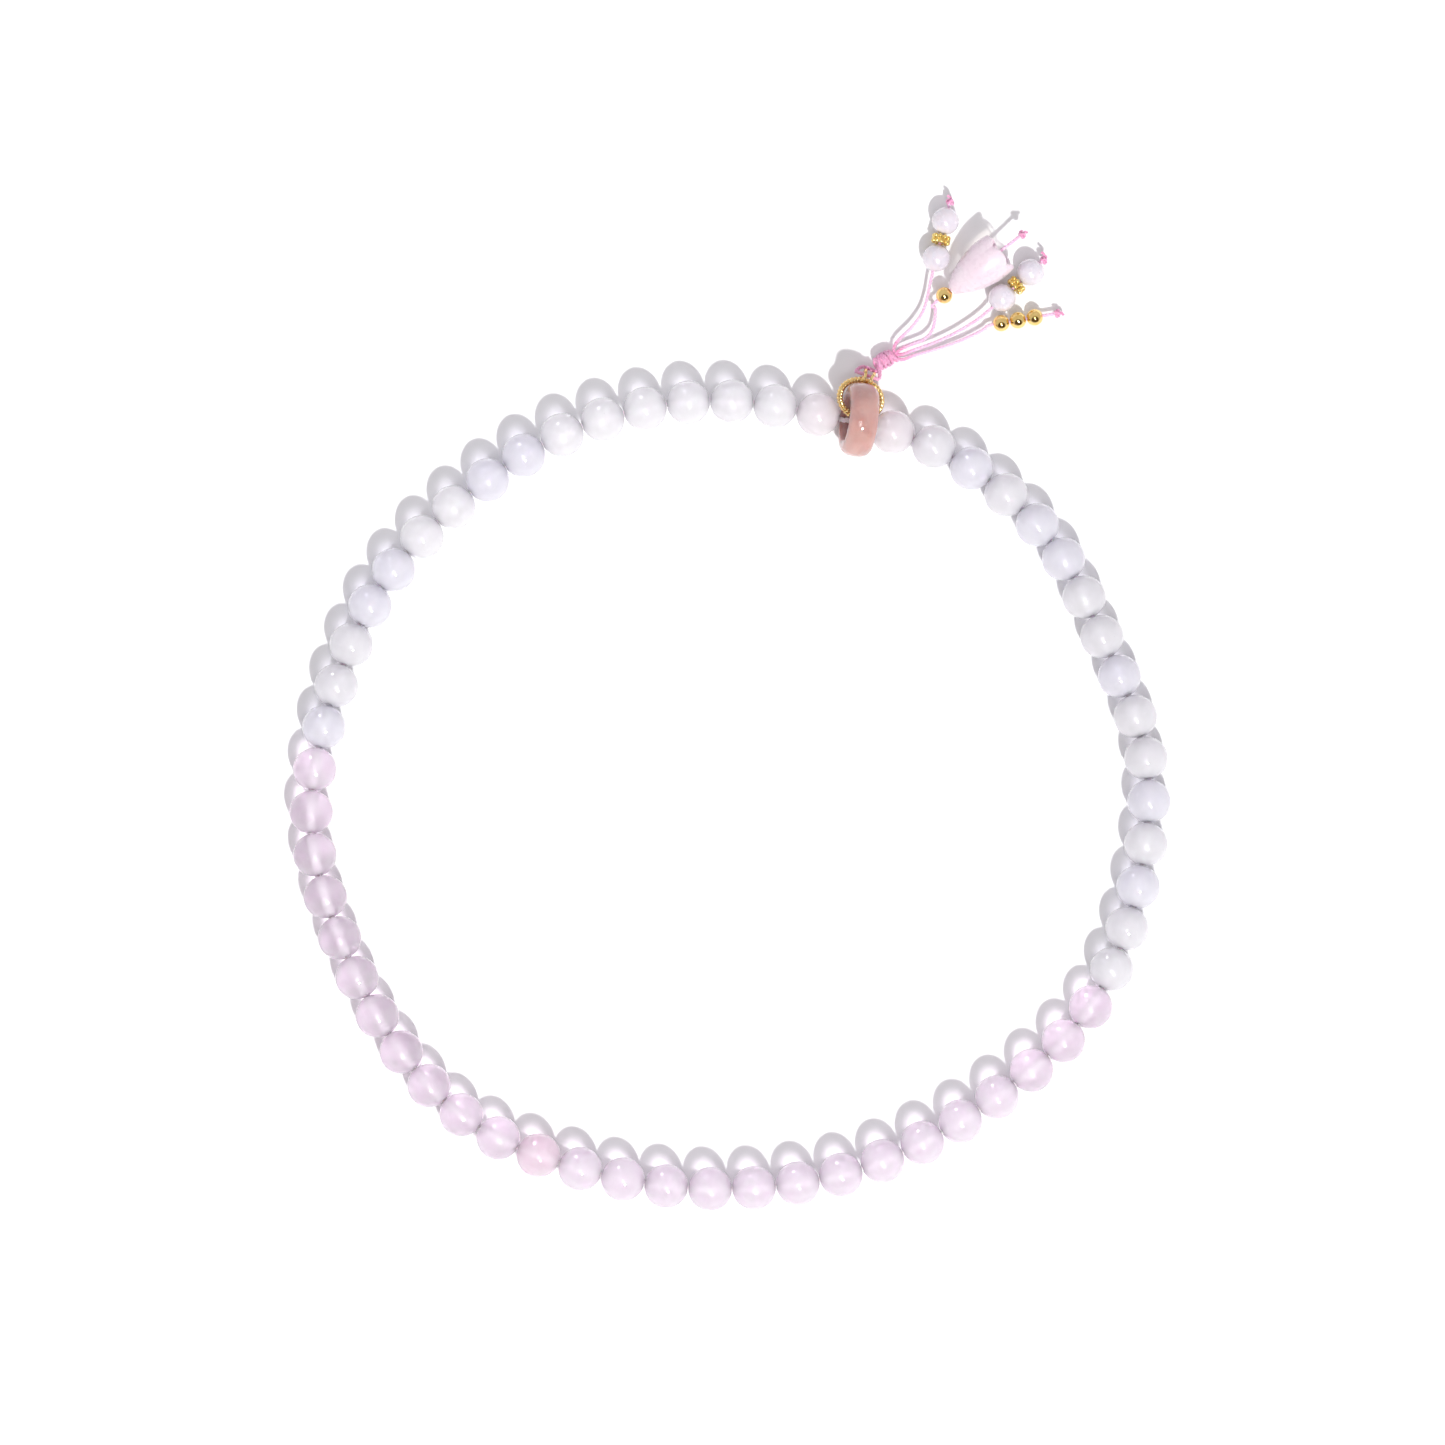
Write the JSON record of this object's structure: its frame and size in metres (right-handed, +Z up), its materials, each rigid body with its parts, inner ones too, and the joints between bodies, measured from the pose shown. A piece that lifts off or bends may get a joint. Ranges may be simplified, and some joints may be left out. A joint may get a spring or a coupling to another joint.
{
  "type": "prayer beads",
  "caption": "Loop of round stone prayer beads on one cord, with an upright stone ring, linked gold rings and a knotted thread tassel of pearls, gold beads and a carved flower.",
  "frame": {"origin": "middle of the bead loop with its rings, on the table surface that the beads lie on", "axes": "+Z up from the table, +Y from the loop's middle towards the stone ring and the tassel, +X to the right seen from above"},
  "size_m": [0.1212, 0.1417, 0.0103],
  "materials": {
    "rose_quartz": "polished translucent pink quartz with faint inner clouds",
    "milky_stone": "polished milky white to pale lavender stone",
    "agate": "polished translucent pink-brown agate",
    "carved_quartz": "satin carved pale pink stone",
    "pearl": "nacre with soft lilac sheen",
    "gold_wire": "gold-plated drawn wire, bright",
    "polished_gold": "mirror-polished gold plate",
    "granulated_gold": "gold plate with small cast grains",
    "tassel_thread": "waxed twisted nylon thread",
    "stringing_cord": "elastic fibre cord"
  },
  "bodies": {
    "strung_loop": {"stringing_cord": "stringing_cord", "milky_bead_row": "milky_stone"},
    "stone_ring": {"stone_ring": "agate"},
    "twisted_ring": {"twisted_ring": "gold_wire"},
    "jump_rings": {"jump_ring_1": "gold_wire", "jump_ring_2": "gold_wire"},
    "tassel_head": {"thread_loop": "tassel_thread", "wrapped_knot": "tassel_thread"},
    "strand_1": {"strand_1": "tassel_thread"},
    "strand_2": {"strand_2": "tassel_thread"},
    "strand_3": {"strand_3": "tassel_thread"},
    "strand_4": {"strand_4": "tassel_thread"},
    "pearl_1": {"pearl_1": "pearl"},
    "pearl_2": {"pearl_2": "pearl"},
    "spacer_1": {"spacer_1": "granulated_gold"},
    "gold_bead_1": {"gold_bead_1": "polished_gold"},
    "flower": {"flower": "carved_quartz"},
    "pearl_3": {"pearl_3": "pearl"},
    "pearl_4": {"pearl_4": "pearl"},
    "spacer_2": {"spacer_2": "granulated_gold"},
    "gold_bead_2": {"gold_bead_2": "polished_gold"},
    "gold_bead_3": {"gold_bead_3": "polished_gold"},
    "gold_bead_4": {"gold_bead_4": "polished_gold"},
    "milky_bead_1": {"milky_bead_1": "milky_stone"},
    "milky_bead_58": {"milky_bead_58": "milky_stone"},
    "milky_bead_2": {"milky_bead_2": "milky_stone"},
    "milky_bead_3": {"milky_bead_3": "milky_stone"},
    "milky_bead_4": {"milky_bead_4": "milky_stone"},
    "milky_bead_5": {"milky_bead_5": "milky_stone"},
    "milky_bead_54": {"milky_bead_54": "milky_stone"},
    "milky_bead_55": {"milky_bead_55": "milky_stone"},
    "milky_bead_56": {"milky_bead_56": "milky_stone"},
    "milky_bead_57": {"milky_bead_57": "milky_stone"},
    "rose_bead_17": {"rose_bead_17": "rose_quartz"},
    "rose_bead_18": {"rose_bead_18": "rose_quartz"},
    "rose_bead_19": {"rose_bead_19": "rose_quartz"},
    "rose_bead_20": {"rose_bead_20": "rose_quartz"},
    "rose_bead_21": {"rose_bead_21": "rose_quartz"},
    "rose_bead_22": {"rose_bead_22": "rose_quartz"},
    "rose_bead_23": {"rose_bead_23": "rose_quartz"},
    "rose_bead_24": {"rose_bead_24": "rose_quartz"},
    "rose_bead_25": {"rose_bead_25": "rose_quartz"},
    "rose_bead_26": {"rose_bead_26": "rose_quartz"},
    "rose_bead_27": {"rose_bead_27": "rose_quartz"},
    "rose_bead_28": {"rose_bead_28": "rose_quartz"},
    "rose_bead_29": {"rose_bead_29": "rose_quartz"},
    "rose_bead_30": {"rose_bead_30": "rose_quartz"},
    "rose_bead_31": {"rose_bead_31": "rose_quartz"},
    "rose_bead_32": {"rose_bead_32": "rose_quartz"},
    "rose_bead_33": {"rose_bead_33": "rose_quartz"},
    "rose_bead_34": {"rose_bead_34": "rose_quartz"},
    "rose_bead_35": {"rose_bead_35": "rose_quartz"},
    "rose_bead_36": {"rose_bead_36": "rose_quartz"},
    "rose_bead_37": {"rose_bead_37": "rose_quartz"},
    "rose_bead_38": {"rose_bead_38": "rose_quartz"},
    "rose_bead_39": {"rose_bead_39": "rose_quartz"},
    "rose_bead_40": {"rose_bead_40": "rose_quartz"},
    "rose_bead_41": {"rose_bead_41": "rose_quartz"},
    "rose_bead_42": {"rose_bead_42": "rose_quartz"}
  },
  "joints": [
    {"name": "stone_ring_swing", "type": "hinge", "parent": "strung_loop", "child": "stone_ring", "pos_m": [0.01802, 0.05137, 0.003], "axis": [0.9739, -0.2269, 0], "range_deg": [-20, 20]},
    {"name": "twisted_ring_swing", "type": "hinge", "parent": "stone_ring", "child": "twisted_ring", "pos_m": [0.01847, 0.05142, 0.00517], "axis": [0.9771, -0.0941, -0.1908], "range_deg": [-5, 25]},
    {"name": "jump_ring_swing", "type": "hinge", "parent": "twisted_ring", "child": "jump_rings", "pos_m": [0.01954, 0.05719, 0.00314], "axis": [0.9329, -0.3452, -0.1028], "range_deg": [-15, 25]},
    {"name": "tassel_swing", "type": "hinge", "parent": "jump_rings", "child": "tassel_head", "pos_m": [0.01975, 0.0579, 0.00261], "axis": [0, 0, 1], "range_deg": [-8, 8]},
    {"name": "strand_1_lift", "type": "hinge", "parent": "tassel_head", "child": "strand_1", "pos_m": [0.0234, 0.0625, 0.0015], "axis": [0.6198, -0.7848, 0], "range_deg": [0, 45]},
    {"name": "strand_2_lift", "type": "hinge", "parent": "tassel_head", "child": "strand_2", "pos_m": [0.0241, 0.0619, 0.0015], "axis": [0.6198, -0.7848, 0], "range_deg": [0, 45]},
    {"name": "strand_3_lift", "type": "hinge", "parent": "tassel_head", "child": "strand_3", "pos_m": [0.0244, 0.0613, 0.0013], "axis": [0.6198, -0.7848, 0], "range_deg": [0, 45]},
    {"name": "strand_4_lift", "type": "hinge", "parent": "tassel_head", "child": "strand_4", "pos_m": [0.0243, 0.0606, 0.001], "axis": [0.6198, -0.7848, 0], "range_deg": [0, 45]},
    {"name": "pearl_1_spin", "type": "hinge", "parent": "strand_1", "child": "pearl_1", "pos_m": [0.02919, 0.07473, 0.00195], "axis": [0.2359, 0.9718, 0], "continuous": true},
    {"name": "pearl_2_spin", "type": "hinge", "parent": "strand_1", "child": "pearl_2", "pos_m": [0.03045, 0.07993, 0.00195], "axis": [0.2359, 0.9718, 0], "continuous": true},
    {"name": "spacer_1_spin", "type": "hinge", "parent": "strand_1", "child": "spacer_1", "pos_m": [0.02982, 0.07733, 0.00195], "axis": [0.2359, 0.9718, 0], "continuous": true},
    {"name": "gold_bead_1_spin", "type": "hinge", "parent": "strand_2", "child": "gold_bead_1", "pos_m": [0.03026, 0.06946, 0.00208], "axis": [0.7861, 0.5963, 0.1626], "continuous": true},
    {"name": "flower_spin", "type": "hinge", "parent": "strand_2", "child": "flower", "pos_m": [0.03125, 0.0702, 0.00228], "axis": [0.7861, 0.5963, 0.1626], "continuous": true},
    {"name": "pearl_3_spin", "type": "hinge", "parent": "strand_3", "child": "pearl_3", "pos_m": [0.03829, 0.06909, 0.00195], "axis": [0.7324, 0.6808, 0], "continuous": true},
    {"name": "pearl_4_spin", "type": "hinge", "parent": "strand_3", "child": "pearl_4", "pos_m": [0.04217, 0.0727, 0.00195], "axis": [0.7324, 0.6808, 0], "continuous": true},
    {"name": "spacer_2_spin", "type": "hinge", "parent": "strand_3", "child": "spacer_2", "pos_m": [0.04023, 0.0709, 0.00195], "axis": [0.7324, 0.6808, 0], "continuous": true},
    {"name": "gold_bead_2_spin", "type": "hinge", "parent": "strand_4", "child": "gold_bead_2", "pos_m": [0.03813, 0.06572, 0.0012], "axis": [0.9846, 0.175, 0], "continuous": true},
    {"name": "gold_bead_3_spin", "type": "hinge", "parent": "strand_4", "child": "gold_bead_3", "pos_m": [0.04044, 0.06613, 0.0012], "axis": [0.9846, 0.175, 0], "continuous": true},
    {"name": "gold_bead_4_spin", "type": "hinge", "parent": "strand_4", "child": "gold_bead_4", "pos_m": [0.04276, 0.06654, 0.0012], "axis": [0.9846, 0.175, 0], "continuous": true},
    {"name": "milky_bead_1_spin", "type": "hinge", "parent": "strung_loop", "child": "milky_bead_1", "pos_m": [0.02317, 0.0501, 0.003], "axis": [0.9682, -0.2502, 0], "continuous": true},
    {"name": "milky_bead_58_spin", "type": "hinge", "parent": "strung_loop", "child": "milky_bead_58", "pos_m": [0.01286, 0.05256, 0.003], "axis": [0.9749, -0.2227, 0], "continuous": true},
    {"name": "milky_bead_2_spin", "type": "hinge", "parent": "strung_loop", "child": "milky_bead_2", "pos_m": [0.02881, 0.04805, 0.003], "axis": [0.9028, -0.43, 0], "continuous": true},
    {"name": "milky_bead_3_spin", "type": "hinge", "parent": "strung_loop", "child": "milky_bead_3", "pos_m": [0.034, 0.04502, 0.003], "axis": [0.8187, -0.5742, 0], "continuous": true},
    {"name": "milky_bead_4_spin", "type": "hinge", "parent": "strung_loop", "child": "milky_bead_4", "pos_m": [0.03875, 0.04131, 0.003], "axis": [0.7557, -0.6549, 0], "continuous": true},
    {"name": "milky_bead_5_spin", "type": "hinge", "parent": "strung_loop", "child": "milky_bead_5", "pos_m": [0.04306, 0.0371, 0.003], "axis": [0.6709, -0.7416, 0], "continuous": true},
    {"name": "milky_bead_54_spin", "type": "hinge", "parent": "strung_loop", "child": "milky_bead_54", "pos_m": [-0.01103, 0.05339, 0.003], "axis": [0.98, 0.1989, 0], "continuous": true},
    {"name": "milky_bead_55_spin", "type": "hinge", "parent": "strung_loop", "child": "milky_bead_55", "pos_m": [-0.00507, 0.05427, 0.003], "axis": [0.9958, 0.0911, 0], "continuous": true},
    {"name": "milky_bead_56_spin", "type": "hinge", "parent": "strung_loop", "child": "milky_bead_56", "pos_m": [0.00095, 0.05439, 0.003], "axis": [0.9988, -0.0489, 0], "continuous": true},
    {"name": "milky_bead_57_spin", "type": "hinge", "parent": "strung_loop", "child": "milky_bead_57", "pos_m": [0.00694, 0.05374, 0.003], "axis": [0.9858, -0.1677, 0], "continuous": true},
    {"name": "rose_bead_17_spin", "type": "hinge", "parent": "strung_loop", "child": "rose_bead_17", "pos_m": [0.05024, -0.03025, 0.003], "axis": [-0.5563, -0.831, 0], "continuous": true},
    {"name": "rose_bead_18_spin", "type": "hinge", "parent": "strung_loop", "child": "rose_bead_18", "pos_m": [0.04648, -0.03494, 0.003], "axis": [-0.689, -0.7247, 0], "continuous": true},
    {"name": "rose_bead_19_spin", "type": "hinge", "parent": "strung_loop", "child": "rose_bead_19", "pos_m": [0.04209, -0.03907, 0.003], "axis": [-0.7659, -0.6429, 0], "continuous": true},
    {"name": "rose_bead_20_spin", "type": "hinge", "parent": "strung_loop", "child": "rose_bead_20", "pos_m": [0.03733, -0.04278, 0.003], "axis": [-0.8091, -0.5877, 0], "continuous": true},
    {"name": "rose_bead_21_spin", "type": "hinge", "parent": "strung_loop", "child": "rose_bead_21", "pos_m": [0.03233, -0.04615, 0.003], "axis": [-0.8493, -0.5279, 0], "continuous": true},
    {"name": "rose_bead_22_spin", "type": "hinge", "parent": "strung_loop", "child": "rose_bead_22", "pos_m": [0.02708, -0.04914, 0.003], "axis": [-0.887, -0.4617, 0], "continuous": true},
    {"name": "rose_bead_23_spin", "type": "hinge", "parent": "strung_loop", "child": "rose_bead_23", "pos_m": [0.02161, -0.05167, 0.003], "axis": [-0.9264, -0.3766, 0], "continuous": true},
    {"name": "rose_bead_24_spin", "type": "hinge", "parent": "strung_loop", "child": "rose_bead_24", "pos_m": [0.0159, -0.05358, 0.003], "axis": [-0.9665, -0.2565, 0], "continuous": true},
    {"name": "rose_bead_25_spin", "type": "hinge", "parent": "strung_loop", "child": "rose_bead_25", "pos_m": [0.00999, -0.05479, 0.003], "axis": [-0.9896, -0.1437, 0], "continuous": true},
    {"name": "rose_bead_26_spin", "type": "hinge", "parent": "strung_loop", "child": "rose_bead_26", "pos_m": [0.00399, -0.05541, 0.003], "axis": [-0.998, -0.0633, 0], "continuous": true},
    {"name": "rose_bead_27_spin", "type": "hinge", "parent": "strung_loop", "child": "rose_bead_27", "pos_m": [-0.00204, -0.05556, 0.003], "axis": [-0.9999, 0.0151, 0], "continuous": true},
    {"name": "rose_bead_28_spin", "type": "hinge", "parent": "strung_loop", "child": "rose_bead_28", "pos_m": [-0.00806, -0.05518, 0.003], "axis": [-0.9938, 0.1116, 0], "continuous": true},
    {"name": "rose_bead_29_spin", "type": "hinge", "parent": "strung_loop", "child": "rose_bead_29", "pos_m": [-0.01401, -0.05422, 0.003], "axis": [-0.9786, 0.2059, 0], "continuous": true},
    {"name": "rose_bead_30_spin", "type": "hinge", "parent": "strung_loop", "child": "rose_bead_30", "pos_m": [-0.01987, -0.05277, 0.003], "axis": [-0.9616, 0.2746, 0], "continuous": true},
    {"name": "rose_bead_31_spin", "type": "hinge", "parent": "strung_loop", "child": "rose_bead_31", "pos_m": [-0.02561, -0.05089, 0.003], "axis": [-0.9379, 0.3468, 0], "continuous": true},
    {"name": "rose_bead_32_spin", "type": "hinge", "parent": "strung_loop", "child": "rose_bead_32", "pos_m": [-0.03112, -0.04846, 0.003], "axis": [-0.8895, 0.4569, 0], "continuous": true},
    {"name": "rose_bead_33_spin", "type": "hinge", "parent": "strung_loop", "child": "rose_bead_33", "pos_m": [-0.0362, -0.04525, 0.003], "axis": [-0.793, 0.6092, 0], "continuous": true},
    {"name": "rose_bead_34_spin", "type": "hinge", "parent": "strung_loop", "child": "rose_bead_34", "pos_m": [-0.04063, -0.04119, 0.003], "axis": [-0.678, 0.7351, 0], "continuous": true},
    {"name": "rose_bead_35_spin", "type": "hinge", "parent": "strung_loop", "child": "rose_bead_35", "pos_m": [-0.04446, -0.03654, 0.003], "axis": [-0.5898, 0.8075, 0], "continuous": true},
    {"name": "rose_bead_36_spin", "type": "hinge", "parent": "strung_loop", "child": "rose_bead_36", "pos_m": [-0.04776, -0.03149, 0.003], "axis": [-0.5029, 0.8644, 0], "continuous": true},
    {"name": "rose_bead_37_spin", "type": "hinge", "parent": "strung_loop", "child": "rose_bead_37", "pos_m": [-0.05057, -0.02616, 0.003], "axis": [-0.4304, 0.9026, 0], "continuous": true},
    {"name": "rose_bead_38_spin", "type": "hinge", "parent": "strung_loop", "child": "rose_bead_38", "pos_m": [-0.05297, -0.02062, 0.003], "axis": [-0.3638, 0.9315, 0], "continuous": true},
    {"name": "rose_bead_39_spin", "type": "hinge", "parent": "strung_loop", "child": "rose_bead_39", "pos_m": [-0.05496, -0.01492, 0.003], "axis": [-0.2959, 0.9552, 0], "continuous": true},
    {"name": "rose_bead_40_spin", "type": "hinge", "parent": "strung_loop", "child": "rose_bead_40", "pos_m": [-0.05639, -0.00907, 0.003], "axis": [-0.1783, 0.984, 0], "continuous": true},
    {"name": "rose_bead_41_spin", "type": "hinge", "parent": "strung_loop", "child": "rose_bead_41", "pos_m": [-0.05693, -0.00309, 0.003], "axis": [0.0005, 1, 0], "continuous": true},
    {"name": "rose_bead_42_spin", "type": "hinge", "parent": "strung_loop", "child": "rose_bead_42", "pos_m": [-0.05645, 0.00291, 0.003], "axis": [0.159, 0.9873, 0], "continuous": true}
  ]
}
